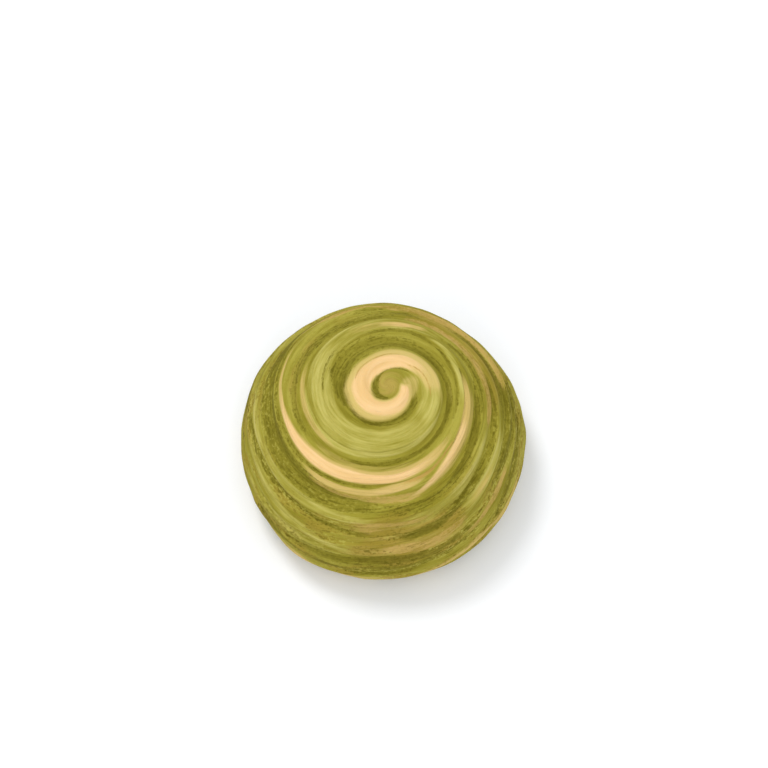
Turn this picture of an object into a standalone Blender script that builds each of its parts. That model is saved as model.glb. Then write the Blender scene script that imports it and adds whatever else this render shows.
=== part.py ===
"""A round swirled pastry: green and cream laminated dough wound in one spiral over a domed bun.

Metres, +Z up. The origin is the middle of the flat base, on the surface that the pastry rests on.
A place on the dough is given by its level and its side. The level is 0 at the crown, 1 at the belt,
where the pastry is widest, and a little more under it. The side is the azimuth in radians,
counter-clockwise from +X.
"""

import math
from collections import namedtuple

import bmesh
import bpy
import numpy as np

# ---- Driving dimensions, metres ----
HALF_WIDTH = 0.0306              # radius at the belt
CROWN_RISE = 0.0245              # height of the crown above the belt
BELT_HEIGHT = 0.0090             # height of the belt above the base
BASE_RADIUS = 0.0245             # radius of the flat base
SKIRT_SQUARENESS = 0.85          # 1 turns the skirt in as an ellipse, less makes it fuller
CROWN_LEAN = (0.0015, 0.0020)    # how far the crown leans off the middle of the base

# ---- The form is a little out of round: order, height in metres, azimuth of one crest ----
OUTLINE_WAVES = (
    (2, 0.00017, 2.40),
    (3, 0.00024, 0.20),
    (5, 0.00020, 0.22),
)

# ---- The swirl: how many windings there are from the crown down to a level ----
INNER_WINDINGS = 2.24            # windings that crowd round the crown
INNER_TIGHTNESS = 4.2            # how soon the crowded windings open out
OUTER_WINDINGS = 1.8             # windings that are spread evenly down the side
SWIRL_DRIFT = 0.13               # how far, in windings, the swirl drifts to one side at the belt
SWIRL_DRIFT_SIDE = 0.9           # the azimuth it drifts away from
FOLD_FADE = 0.09                 # turns over which the end of a fold sinks into the dough

# ---- The folds of dough that stand proud of the swirl, and the creases between them ----
# A path gives the winding a fold lies on at a few turns round the crown. The swirl runs outwards
# clockwise, so a fold starts at its highest turn. half_width is in windings, height in metres.
Fold = namedtuple("Fold", "name path half_width height")
FOLDS = (
    Fold("heart", ((1.04, 1.80), (0.89, 1.68), (0.66, 1.74), (0.36, 1.48), (0.00, 1.60),
                   (-0.27, 1.76), (-0.66, 1.70), (-0.82, 1.62), (-0.98, 1.38), (-1.26, 1.58)),
         0.30, 0.00060),
    Fold("heart_crease", ((0.90, 2.36), (0.76, 2.20), (0.46, 2.26), (0.00, 2.00), (-0.38, 2.00)),
         0.24, -0.00045),
    Fold("front_fold", ((0.95, 3.24), (0.67, 3.22), (0.46, 3.35), (0.33, 3.38)), 0.18, 0.00055),
    Fold("inner_fold", ((0.72, 3.00), (0.55, 2.92), (0.36, 2.98)), 0.11, 0.00025),
    Fold("outer_fold", ((0.88, 3.50), (0.75, 3.45), (0.54, 3.32)), 0.11, 0.00025),
    Fold("belly_crease", ((1.06, 3.57), (0.91, 3.56), (0.77, 3.68), (0.58, 3.55), (0.38, 3.66)),
         0.14, -0.00045),
    Fold("belly_fold", ((1.05, 3.76), (0.94, 3.75), (0.80, 3.90), (0.62, 3.74), (0.44, 3.88)),
         0.12, 0.00035),
    Fold("side_crease", ((1.05, 3.92), (0.96, 3.91), (0.79, 4.06), (0.58, 3.91), (0.46, 3.94)),
         0.10, -0.00030),
    Fold("side_fold", ((1.02, 4.02), (0.84, 4.25), (0.60, 4.14)), 0.12, 0.00035),
    Fold("skirt_crease", ((1.02, 4.20), (0.82, 4.44), (0.55, 4.24)), 0.12, -0.00030),
    Fold("back_crease", ((0.44, 3.04), (0.24, 3.00), (0.02, 3.02)), 0.14, -0.00040),
    Fold("back_fold", ((0.46, 3.40), (0.24, 3.28), (-0.06, 3.34)), 0.15, 0.00040),
    Fold("back_skirt_crease", ((0.50, 3.78), (0.24, 3.70), (-0.10, 3.66)), 0.15, -0.00040),
    Fold("back_skirt_fold", ((0.56, 4.20), (0.24, 4.06), (-0.12, 3.98)), 0.16, 0.00035),
)

# ---- The edges of the laminated layers, which show as fine ridges along the whole swirl ----
LAYER_PITCH = 0.0036             # spacing of the ridges, about the same everywhere
LAYER_PITCH_SPREAD = 0.45        # how widely the spacing varies, as a share
LAYER_HEIGHT = 0.00011           # height of one set of ridges
LAYER_SETS = 9                   # sets of ridges: 1, 2, 3 ... to a winding
LAYER_START = 1.9                # radians that set the sets off against each other
LAYER_WANDER = 0.6               # radians that the ridges wander to and fro round the pastry

# ---- Where the relief stops ----
CROWN_SMOOTH_LEVEL = 0.05        # the very crown is smooth up to here
RELIEF_END_LEVELS = (1.10, 1.25)  # the relief dies away under the belt between these levels

# ---- Fineness ----
SIDES_ROUND = 72                 # faces round the pastry
DOME_RINGS = 58                  # rings of faces from the crown to the belt
SKIRT_RINGS = 13                 # rings of faces from the belt to the base
MERGE_DISTANCE = 0.00001
ARC_SAMPLES = 2000               # fineness of the curve that the rings are spaced along

# ---- Finish: the dough's mean colour, linear ----
DOUGH_COLOUR = (0.300, 0.262, 0.048, 1.0)
DOUGH_ROUGHNESS = 0.72

FULL_TURN = 2.0 * math.pi


def clear_scene():
    """Removes what a new scene starts with."""
    for item in list(bpy.data.objects):
        bpy.data.objects.remove(item, do_unlink=True)


def new_collection(name):
    """Adds a collection to the scene."""
    collection = bpy.data.collections.new(name)
    bpy.context.scene.collection.children.link(collection)
    return collection


def dough_material():
    """The matt, slightly uneven finish of baked laminated dough."""
    material = bpy.data.materials.new("swirl_dough")
    material.use_nodes = True
    shader = material.node_tree.nodes["Principled BSDF"]
    shader.inputs["Base Color"].default_value = DOUGH_COLOUR
    shader.inputs["Roughness"].default_value = DOUGH_ROUGHNESS
    shader.inputs["Metallic"].default_value = 0.0
    return material


# ---- The plain form ----

def quarter_arc(half_width, half_height, squareness, start, end):
    """Points along a quarter of a superellipse, spaced by a fine parameter."""
    angle = np.linspace(start, end, ARC_SAMPLES)
    across = half_width * np.sin(angle) ** squareness
    along = half_height * np.cos(angle) ** squareness
    return np.column_stack((across, along))


def spaced_evenly(points, count):
    """Resamples a curve at count + 1 points that are the same distance apart along it."""
    steps = np.hypot(*np.diff(points, axis=0).T)
    travelled = np.concatenate(([0.0], np.cumsum(steps)))
    wanted = np.linspace(0.0, travelled[-1], count + 1)
    return np.column_stack([np.interp(wanted, travelled, points[:, axis]) for axis in (0, 1)])


def meridian():
    """The outer side of the plain form, (radius, height), from the crown down to the base."""
    dome = quarter_arc(HALF_WIDTH, CROWN_RISE, 1.0, 0.0, math.pi / 2)
    dome = spaced_evenly(dome, DOME_RINGS) + (0.0, BELT_HEIGHT)
    turn_in = HALF_WIDTH - BASE_RADIUS
    skirt = quarter_arc(turn_in, BELT_HEIGHT, SKIRT_SQUARENESS, math.pi / 2, 0.0)
    skirt = spaced_evenly(skirt, SKIRT_RINGS) * (1.0, -1.0) + (BASE_RADIUS, BELT_HEIGHT)
    skirt[-1, 1] = 0.0
    return np.concatenate((dome, skirt[1:], [(0.0, 0.0)]))


def dome_arc_length():
    """The way over the dough from the crown down to the belt."""
    dome = quarter_arc(HALF_WIDTH, CROWN_RISE, 1.0, 0.0, math.pi / 2)
    return float(np.hypot(*np.diff(dome, axis=0).T).sum())


def level_and_side(places):
    """The level and the side of places on the plain form."""
    radius = np.hypot(places[:, 0], places[:, 1])
    above_belt = places[:, 2] - BELT_HEIGHT
    on_dome = np.arctan2(radius / HALF_WIDTH, np.maximum(above_belt, 0.0) / CROWN_RISE)
    level = on_dome / (math.pi / 2) + np.maximum(-above_belt, 0.0) / dome_arc_length()
    return level, np.arctan2(places[:, 1], places[:, 0])


# ---- The swirl ----

def winding_at(level, side):
    """How many windings out from the crown a place is, counted along the spiral."""
    crowded = INNER_WINDINGS * (1.0 - np.exp(-INNER_TIGHTNESS * level))
    drift = SWIRL_DRIFT * level * np.cos(side - SWIRL_DRIFT_SIDE)
    return crowded + OUTER_WINDINGS * level + side / FULL_TURN + drift


def windings_per_metre(level):
    """How closely the windings follow each other down the side of the dough."""
    crowded = INNER_WINDINGS * INNER_TIGHTNESS * np.exp(-INNER_TIGHTNESS * level)
    return (crowded + OUTER_WINDINGS) / dome_arc_length()


def smooth(share):
    """Eases a share from 0 to 1."""
    share = np.clip(share, 0.0, 1.0)
    return share * share * (3.0 - 2.0 * share)


def fold_share(fold, level, side):
    """How much of a fold is at each place: 1 along its middle, 0 past its edges and ends."""
    turns, windings = np.array(sorted(fold.path)).T
    share = np.zeros_like(level)
    for whole_turns in range(math.floor(turns[0]) - 1, math.ceil(turns[-1]) + 1):
        turn = side / FULL_TURN + whole_turns
        off_middle = winding_at(level, side) + whole_turns - np.interp(turn, turns, windings)
        across = np.cos(np.clip(off_middle / fold.half_width, -1.0, 1.0) * math.pi / 2) ** 2
        ends = smooth((turn - turns[0]) / FOLD_FADE) * smooth((turns[-1] - turn) / FOLD_FADE)
        share += across * ends
    return share


def layer_ridges(level, side):
    """The edges of the layers: ridges along the swirl, whose number keeps their spacing even."""
    winding = winding_at(level, side)
    height = np.zeros_like(level)
    for count in range(1, LAYER_SETS + 1):
        pitch = 1.0 / (count * windings_per_metre(level))
        fits = np.exp(-(np.log(pitch / LAYER_PITCH) / LAYER_PITCH_SPREAD) ** 2)
        start = LAYER_START * count ** 2
        wander = LAYER_WANDER * np.sin(side * (1 + count % 2) + start)
        height += fits * np.cos(FULL_TURN * count * winding + wander + start)
    return LAYER_HEIGHT * height


def relief(level, side):
    """How far the dough stands out from the plain form."""
    height = layer_ridges(level, side)
    for fold in FOLDS:
        height += fold.height * fold_share(fold, level, side)
    first, last = RELIEF_END_LEVELS
    under = 1.0 - smooth((level - first) / (last - first))
    return height * smooth(level / CROWN_SMOOTH_LEVEL) * under


def out_of_round(side):
    """The slow waves of the outline."""
    return sum(height * np.cos(order * (side - crest)) for order, height, crest in OUTLINE_WAVES)


def outward(places):
    """Unit vectors square to the dome, or level with the base under the belt."""
    above_belt = np.maximum(places[:, 2] - BELT_HEIGHT, 0.0)
    slope = np.column_stack((places[:, :2] / HALF_WIDTH ** 2, above_belt / CROWN_RISE ** 2))
    return slope / np.maximum(np.linalg.norm(slope, axis=1, keepdims=True), MERGE_DISTANCE)


def shape_dough(mesh):
    """Gives the plain turned form its folds, its lean and its uneven outline."""
    places = np.array([vertex.co for vertex in mesh.vertices])
    level, side = level_and_side(places)
    shaped = places + outward(places) * relief(level, side)[:, None]
    radius = np.hypot(places[:, 0], places[:, 1])
    wave = out_of_round(side) * radius / HALF_WIDTH
    above_belt = np.clip((places[:, 2] - BELT_HEIGHT) / CROWN_RISE, 0.0, 1.0)
    shaped[:, 0] += wave * np.cos(side) + CROWN_LEAN[0] * above_belt
    shaped[:, 1] += wave * np.sin(side) + CROWN_LEAN[1] * above_belt
    for vertex, place in zip(mesh.vertices, shaped):
        vertex.co = place


# ---- Making the pastry ----

def turned_form(collection):
    """The plain form as a profile turned with a Screw modifier."""
    profile = bpy.data.meshes.new("profile")
    points = [(radius, 0.0, height) for radius, height in meridian()]
    edges = [(index, index + 1) for index in range(len(points) - 1)]
    profile.from_pydata(points, edges, [])
    turned = bpy.data.objects.new("turned_form", profile)
    collection.objects.link(turned)
    screw = turned.modifiers.new("turn", "SCREW")
    screw.axis = "Z"
    screw.angle = FULL_TURN
    screw.steps = SIDES_ROUND
    screw.render_steps = SIDES_ROUND
    screw.use_merge_vertices = True
    screw.merge_threshold = MERGE_DISTANCE
    return turned


def as_mesh(turned, name):
    """The evaluated form as a mesh of its own, its doubles merged and its faces triangles."""
    evaluated = turned.evaluated_get(bpy.context.evaluated_depsgraph_get())
    mesh = bpy.data.meshes.new_from_object(evaluated)
    mesh.name = name
    work = bmesh.new()
    work.from_mesh(mesh)
    bmesh.ops.remove_doubles(work, verts=work.verts, dist=MERGE_DISTANCE)
    bmesh.ops.triangulate(work, faces=work.faces, quad_method="ALTERNATE")
    work.to_mesh(mesh)
    work.free()
    return mesh


def make_pastry(collection):
    """The whole pastry, one solid body of dough."""
    turned = turned_form(collection)
    mesh = as_mesh(turned, "pastry")
    bpy.data.objects.remove(turned, do_unlink=True)
    shape_dough(mesh)
    mesh.shade_smooth()
    mesh.materials.append(dough_material())
    pastry = bpy.data.objects.new("pastry", mesh)
    collection.objects.link(pastry)
    return pastry


def main():
    """Builds the pastry in a collection of its own."""
    clear_scene()
    make_pastry(new_collection("swirl_pastry"))


main()
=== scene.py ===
# %% [markdown]
# # A swirled bean pastry
#
# The real thing is a bun about 62 mm across. A baker rolls green and cream dough into thin layers,
# coils them up, cuts the coil across and presses the slice over a ball of bean paste. So the coil's
# spiral shows on top: broad folds of green with a cream one wound in, and on them the fine edges of
# the layers. This lesson models the bun as one closed mesh, moves its points by the same law that
# the dough follows, and then builds the colours on that law too, so that paint and relief agree.

# %% Load the frame
import itertools
import math
from collections import namedtuple

import bpy
import numpy as np
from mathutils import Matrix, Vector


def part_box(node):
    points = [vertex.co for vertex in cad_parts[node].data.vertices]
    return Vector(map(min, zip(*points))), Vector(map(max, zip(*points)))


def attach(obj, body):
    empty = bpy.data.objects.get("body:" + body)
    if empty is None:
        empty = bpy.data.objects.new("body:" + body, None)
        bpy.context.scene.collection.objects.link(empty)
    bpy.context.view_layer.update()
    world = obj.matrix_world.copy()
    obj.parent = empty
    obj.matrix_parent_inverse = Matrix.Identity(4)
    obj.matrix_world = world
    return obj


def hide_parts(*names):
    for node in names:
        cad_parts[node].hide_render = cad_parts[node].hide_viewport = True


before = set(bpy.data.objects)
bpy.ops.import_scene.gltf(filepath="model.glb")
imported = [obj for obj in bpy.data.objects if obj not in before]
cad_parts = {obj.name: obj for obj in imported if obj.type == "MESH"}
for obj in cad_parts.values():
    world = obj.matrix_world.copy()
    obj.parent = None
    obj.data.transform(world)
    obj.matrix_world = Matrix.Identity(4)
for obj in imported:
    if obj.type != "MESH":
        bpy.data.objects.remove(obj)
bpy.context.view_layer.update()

MM = 0.001
FULL_TURN = 2.0 * math.pi
low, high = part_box("pastry")
print("the pastry's solid is", [round((b - a) / MM, 1) for a, b in zip(low, high)], "mm")

# %% [markdown]
# ## The sizes
#
# The plain form is a dome on a short skirt that turns in to a flat base. The belt is where the two
# meet, the widest level of the bun. These are the solid's own sizes, so that the fine surface lies
# where the solid is. A place on the dough is named by its level, 0 at the crown and 1 at the belt,
# and by its side, the angle round the bun.

# %% Sizes of the plain form
HALF_WIDTH = 30.6 * MM
CROWN_RISE = 24.5 * MM
BELT_HEIGHT = 9.0 * MM
BASE_RADIUS = 24.5 * MM
SKIRT_SQUARENESS = 0.85
CURVE_POINTS = 2000
CROWN_LEAN = (1.5 * MM, 2.0 * MM)
OUTLINE_WAVES = (
    (2, 0.17 * MM, 2.40),
    (3, 0.24 * MM, 0.20),
    (5, 0.20 * MM, 0.22),
)


def smooth(share):
    """Eases a share from 0 to 1."""
    share = np.clip(share, 0.0, 1.0)
    return share * share * (3.0 - 2.0 * share)


def quarter_arc(half_width, half_height, squareness, count):
    """A quarter of a superellipse, from its widest point to its end on the axis."""
    angle = np.linspace(math.pi / 2, 0.0, count)
    return half_width * np.sin(angle) ** squareness, half_height * np.cos(angle) ** squareness


dome = np.column_stack(quarter_arc(HALF_WIDTH, CROWN_RISE, 1.0, CURVE_POINTS))
DOME_ARC = float(np.hypot(*np.diff(dome, axis=0).T).sum())
print("from crown to belt over the dough is", round(DOME_ARC / MM, 1), "mm")

# %% [markdown]
# ## The bun's mesh
#
# A turned form could be a profile spun round the axis, or a sphere reshaped. A sphere is the
# quicker start here, because its rings are already spaced by angle, which is how the levels are
# counted. The sphere is squashed to the dome's height, cut off a little under the belt with bisect,
# and the cut is filled. Then the lower rings are moved on to the skirt's curve.

# %% Helpers for modelling
ROUND_FACES = 224
DOME_RINGS = 320
SKIRT_RINGS = 84


def deselect_all():
    """Nothing stays selected, so that the next operator acts on the new piece alone."""
    bpy.ops.object.select_all(action="DESELECT")


def in_edit_mode(piece, work):
    """Runs operators on one piece in edit mode with everything in it selected."""
    deselect_all()
    piece.select_set(True)
    bpy.context.view_layer.objects.active = piece
    bpy.ops.object.mode_set(mode="EDIT")
    bpy.ops.mesh.select_all(action="SELECT")
    work()
    bpy.ops.object.mode_set(mode="OBJECT")


def place_in_mesh(piece):
    """Puts a piece's place, turn and size into its mesh, so that the object sits at the origin."""
    deselect_all()
    piece.select_set(True)
    bpy.context.view_layer.objects.active = piece
    bpy.ops.object.transform_apply(location=True, rotation=True, scale=True)


print("the bun gets", ROUND_FACES, "faces round and", DOME_RINGS + SKIRT_RINGS, "rings")

# %% Add the squashed sphere and cut off its underside
deselect_all()
bpy.ops.mesh.primitive_uv_sphere_add(
    segments=ROUND_FACES, ring_count=2 * DOME_RINGS, radius=1.0, location=(0.0, 0.0, 0.0))
pastry = bpy.context.object
pastry.name = "swirl_pastry"
RING_ANGLE = math.pi / 2 / DOME_RINGS
CUT_ANGLE = RING_ANGLE * (SKIRT_RINGS + 0.5)
CUT_DEPTH = -math.sin(CUT_ANGLE)


def cut_underside():
    """Bisect keeps what is over the cut and closes the hole with one face."""
    bpy.ops.mesh.bisect(plane_co=(0.0, 0.0, CUT_DEPTH), plane_no=(0.0, 0.0, 1.0),
                        use_fill=True, clear_inner=True, clear_outer=False)


in_edit_mode(pastry, cut_underside)
print("the cut sphere has", len(pastry.data.vertices), "points")

# %% [markdown]
# The filled cut is one face with many sides. Insetting it twice leaves rings of ordinary faces
# inside it, so that the flat base has no long thin triangles, and poking the last face closes it
# with a point in the middle.

# %% Inset and close the base
BASE_INSETS = (0.18, 0.24, 0.20)


def finish_base():
    """Insets the face under the bun and pokes the middle one."""
    bpy.ops.mesh.select_all(action="DESELECT")
    bpy.ops.object.mode_set(mode="OBJECT")
    widest = max(pastry.data.polygons, key=lambda face: face.area)
    widest.select = True
    bpy.ops.object.mode_set(mode="EDIT")
    for width in BASE_INSETS:
        bpy.ops.mesh.inset(thickness=width, use_boundary=True)
    bpy.ops.mesh.poke()


in_edit_mode(pastry, finish_base)
print("with its base it has", len(pastry.data.vertices), "points")

# %% [markdown]
# ## Onto the plain form
#
# Every point of the sphere now gets its level from its angle under the crown. Points over the belt
# go on the dome, points under it go down the skirt's curve at an even pace, and the points of the
# base stay flat and are only drawn in or out.

# %% Move the sphere's points on to the plain form
def read_points(mesh):
    """The mesh's points as one array."""
    flat = np.empty(len(mesh.vertices) * 3)
    mesh.vertices.foreach_get("co", flat)
    return flat.reshape(-1, 3)


def write_points(mesh, points):
    """Puts an array of points back in the mesh."""
    mesh.vertices.foreach_set("co", points.ravel())
    mesh.update()


def skirt_curve():
    """The skirt from the belt to the base: share of the way down, radius and depth."""
    out, down = quarter_arc(HALF_WIDTH - BASE_RADIUS, BELT_HEIGHT, SKIRT_SQUARENESS, CURVE_POINTS)
    way = np.concatenate(([0.0], np.cumsum(np.hypot(np.diff(out), np.diff(down)))))
    return way, BASE_RADIUS + out, down


NEARLY_ZERO = 1e-4
SKIRT_WAY, SKIRT_RADIUS, SKIRT_DEPTH = skirt_curve()
BASE_LEVEL = 1.0 + SKIRT_DEPTH[-1] / DOME_ARC

sphere = read_points(pastry.data)
side = np.arctan2(sphere[:, 1], sphere[:, 0])
reach = np.hypot(sphere[:, 0], sphere[:, 1])
angle = np.arctan2(reach, sphere[:, 2])
under = np.maximum(angle - math.pi / 2, 0.0)
on_base = sphere[:, 2] < CUT_DEPTH + NEARLY_ZERO
share_down = np.clip(under / CUT_ANGLE, 0.0, 1.0)
radius = np.interp(share_down * SKIRT_WAY[-1], SKIRT_WAY, SKIRT_RADIUS)
depth = np.interp(share_down * SKIRT_WAY[-1], SKIRT_WAY, SKIRT_DEPTH)
radius = np.where(under > 0.0, radius, HALF_WIDTH * np.sin(np.minimum(angle, math.pi / 2)))
height = np.where(under > 0.0, -depth, CROWN_RISE * np.cos(np.minimum(angle, math.pi / 2)))
radius = np.where(on_base, BASE_RADIUS * reach / math.cos(CUT_ANGLE), radius)
height = np.where(on_base, -BELT_HEIGHT, height)
plain = np.column_stack((radius * np.cos(side), radius * np.sin(side), height + BELT_HEIGHT))
level = np.where(under > 0.0, 1.0 + depth / DOME_ARC, angle / (math.pi / 2))
level = np.where(on_base, BASE_LEVEL, level)
print("levels run from", round(level.min(), 3), "to", round(level.max(), 3))

# %% [markdown]
# ## The law of the swirl
#
# A coil of dough that is stretched over a ball crowds at the crown and opens out down the side. The
# number of windings from the crown to a level is one curve for the crowd and one even part, and the
# angle round the bun adds its share of a turn. Lines of one winding number are the lines along which
# the dough runs. A fold or a band of colour keeps near to one such line.

# %% The swirl's law
INNER_WINDINGS = 2.24
INNER_TIGHTNESS = 4.2
OUTER_WINDINGS = 1.8
SWIRL_DRIFT = 0.13
SWIRL_DRIFT_SIDE = 0.9


def winding_at(level, side):
    """How many windings out from the crown a place is, counted along the spiral."""
    crowded = INNER_WINDINGS * (1.0 - np.exp(-INNER_TIGHTNESS * level))
    drift = SWIRL_DRIFT * level * np.cos(side - SWIRL_DRIFT_SIDE)
    return crowded + OUTER_WINDINGS * level + side / FULL_TURN + drift


def pitch_at(level):
    """The width of one winding at a level."""
    crowded = INNER_WINDINGS * INNER_TIGHTNESS * np.exp(-INNER_TIGHTNESS * level)
    return DOME_ARC / (crowded + OUTER_WINDINGS)


winding = winding_at(level, side)
pitch = pitch_at(level)
print("a winding is", round(pitch.min() / MM, 1), "mm wide at the crown and",
      round(pitch_at(1.0) / MM, 1), "mm at the belt")

# %% [markdown]
# ## Folds and creases
#
# A path gives a fold's winding number at a few turns round the crown, with its half width there in
# windings. The dough runs outwards clockwise, so a fold starts at its highest turn. The height of a
# fold across its width is a cosine hump, and its ends sink into the dough. The folds could be
# sculpted by hand, but paths in the swirl's own numbers keep them winding with it.

# %% The folds that stand proud and the creases between them
Fold = namedtuple("Fold", "name path half_width height")
FOLDS = (
    Fold("heart", ((1.04, 1.80), (0.89, 1.68), (0.66, 1.74), (0.36, 1.48), (0.00, 1.60),
                   (-0.27, 1.76), (-0.66, 1.70), (-0.82, 1.62), (-0.98, 1.38), (-1.26, 1.58)),
         0.30, 0.60 * MM),
    Fold("heart_crease", ((0.90, 2.36), (0.76, 2.20), (0.46, 2.26), (0.00, 2.00), (-0.38, 2.00)),
         0.24, -0.45 * MM),
    Fold("front_fold", ((0.95, 3.24), (0.67, 3.22), (0.46, 3.35), (0.33, 3.38)), 0.18, 0.55 * MM),
    Fold("inner_fold", ((0.72, 3.00), (0.55, 2.92), (0.36, 2.98)), 0.11, 0.25 * MM),
    Fold("outer_fold", ((0.88, 3.50), (0.75, 3.45), (0.54, 3.32)), 0.11, 0.25 * MM),
    Fold("belly_crease", ((1.06, 3.57), (0.91, 3.56), (0.77, 3.68), (0.58, 3.55), (0.38, 3.66)),
         0.14, -0.45 * MM),
    Fold("belly_fold", ((1.05, 3.76), (0.94, 3.75), (0.80, 3.90), (0.62, 3.74), (0.44, 3.88)),
         0.12, 0.35 * MM),
    Fold("side_crease", ((1.05, 3.92), (0.96, 3.91), (0.79, 4.06), (0.58, 3.91), (0.46, 3.94)),
         0.10, -0.30 * MM),
    Fold("side_fold", ((1.02, 4.02), (0.84, 4.25), (0.60, 4.14)), 0.12, 0.35 * MM),
    Fold("skirt_crease", ((1.02, 4.20), (0.82, 4.44), (0.55, 4.24)), 0.12, -0.30 * MM),
    Fold("back_crease", ((0.44, 3.04), (0.24, 3.00), (0.02, 3.02)), 0.14, -0.40 * MM),
    Fold("back_fold", ((0.46, 3.40), (0.24, 3.28), (-0.06, 3.34)), 0.15, 0.40 * MM),
    Fold("back_skirt_crease", ((0.50, 3.78), (0.24, 3.70), (-0.10, 3.66)), 0.15, -0.40 * MM),
    Fold("back_skirt_fold", ((0.56, 4.20), (0.24, 4.06), (-0.12, 3.98)), 0.16, 0.35 * MM),
)
FOLD_FADE = 0.09


def hump(off_middle):
    """A cosine hump, 1 in the middle and 0 from one half width out."""
    return np.cos(np.clip(off_middle, -1.0, 1.0) * math.pi / 2) ** 2


def along_swirl(path, fade, profile):
    """Lays a profile along a path of (turn, winding, half width) points, round every winding."""
    turns, windings, halves = np.array(sorted(path)).T
    share = np.zeros_like(level)
    for whole_turns in range(math.floor(turns[0]) - 1, math.ceil(turns[-1]) + 1):
        turn = side / FULL_TURN + whole_turns
        off_middle = winding + whole_turns - np.interp(turn, turns, windings)
        ends = smooth((turn - turns[0]) / fade) * smooth((turns[-1] - turn) / fade)
        share += profile(off_middle / np.interp(turn, turns, halves)) * ends
    return share


fold_relief = np.zeros_like(level)
for fold in FOLDS:
    path = [(turn, middle, fold.half_width) for turn, middle in fold.path]
    fold_relief += fold.height * along_swirl(path, FOLD_FADE, hump)
print("folds reach from", round(fold_relief.min() / MM, 2), "to", round(fold_relief.max() / MM, 2), "mm")

# %% [markdown]
# ## The edges of the layers
#
# Laminated dough is a stack of sheets, and the swirl shows their edges as ridges. Sets of ridges
# are cosines of the winding number: a whole number of ridges to a winding, so that they join
# up all the way round. Each set is strongest where its spacing is near the wanted one.

# %% Ridges of the broad layers
LAYER_PITCH = 3.6 * MM
LAYER_PITCH_SPREAD = 0.45
LAYER_HEIGHT = 0.11 * MM
LAYER_SETS = 9
LAYER_START = 1.9
LAYER_WANDER = 0.6


def ridge_sets(counts, wanted_pitch, spread):
    """Sums sets of ridges, each weighed by how near its spacing is to the wanted one."""
    total = np.zeros_like(level)
    for count in counts:
        fits = np.exp(-(np.log(pitch / count / wanted_pitch) / spread) ** 2)
        start = LAYER_START * count ** 2
        wander = LAYER_WANDER * np.sin(side * (1 + count % 2) + start)
        total += fits * np.cos(FULL_TURN * count * winding + wander + start)
    return total


layer_relief = LAYER_HEIGHT * ridge_sets(range(1, LAYER_SETS + 1), LAYER_PITCH, LAYER_PITCH_SPREAD)
print("broad layers reach", round(layer_relief.max() / MM, 2), "mm")

# %% [markdown]
# ## Fine, flaky layers
#
# Close up, each broad ridge is many thin sheets, broken off unevenly. A noise that is stretched
# along the swirl gives them. It has to close up round the bun, so it isn't read at the winding
# number itself but at the point of a circle that goes round once for each winding. The circle's
# size sets how many flakes lie side by side in a winding, so it grows with the pitch.

# %% Noise that runs along the swirl
LATTICE = 256
NOISE_SHIFT = 31.7


def lattice_noise(places, seed):
    """Smooth random values from -1 to 1 at places in any number of dimensions."""
    draw = np.random.default_rng(seed)
    order = draw.permutation(LATTICE)
    values = draw.uniform(-1.0, 1.0, LATTICE)
    cell = np.floor(places).astype(int)
    ease = smooth(places - cell)
    total = np.zeros(len(places))
    for corner in itertools.product((0, 1), repeat=places.shape[1]):
        index = np.zeros(len(places), dtype=int)
        weight = np.ones(len(places))
        for axis, step in enumerate(corner):
            index = order[(index + cell[:, axis] + step) % LATTICE]
            weight = weight * (ease[:, axis] if step else 1.0 - ease[:, axis])
        total += weight * values[index]
    return total


def swirl_noise(width, length, seed):
    """Noise whose grains are about width across the swirl and length along it."""
    circle = pitch / width / FULL_TURN
    turned = FULL_TURN * winding
    places = np.column_stack((circle * np.cos(turned), circle * np.sin(turned),
                              plain[:, 0] / length, plain[:, 1] / length))
    return lattice_noise(places + NOISE_SHIFT, seed)


# %% Thin sheets, each ending in a small ledge
SHEET_WIDTH = 1.0 * MM
SHEET_SPREAD = 0.45
SHEET_COUNTS = (2, 4, 8, 16, 32, 64)
SHEET_DEPTH = 0.17 * MM
SHEET_TOP = -0.11 * MM
LEDGE = 0.16
RAGGED = 0.42 * MM
FINE_RAGGED_SHARE = 0.35
FLAKY_CONTRAST = 0.9
ragged = swirl_noise(width=2.4 * MM, length=7.0 * MM, seed=3)
ragged += FINE_RAGGED_SHARE * swirl_noise(width=0.9 * MM, length=3.0 * MM, seed=4)
ragged *= RAGGED / pitch
flaky = smooth(0.5 + FLAKY_CONTRAST * swirl_noise(width=4.5 * MM, length=12.0 * MM, seed=8))
fine_flaky = smooth(0.5 + FLAKY_CONTRAST * swirl_noise(width=2.0 * MM, length=6.0 * MM, seed=9))


def sheets(width):
    """Sheets about one width across: how high each point is on its sheet, and how deep in a ledge."""
    height, foot, total = (np.zeros_like(level) for _ in range(3))
    for count in SHEET_COUNTS:
        fits = np.exp(-(np.log(pitch / count / width) / SHEET_SPREAD) ** 2)
        across = (count * (winding + ragged)) % 1.0
        lip = smooth(across / (1.0 - LEDGE)) * (1.0 - smooth((across - 1.0 + LEDGE) / LEDGE))
        height += fits * lip
        foot += fits * (1.0 - smooth(np.minimum(across, 1.0 - across) / LEDGE))
        total += fits
    return height / total, foot / total


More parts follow.
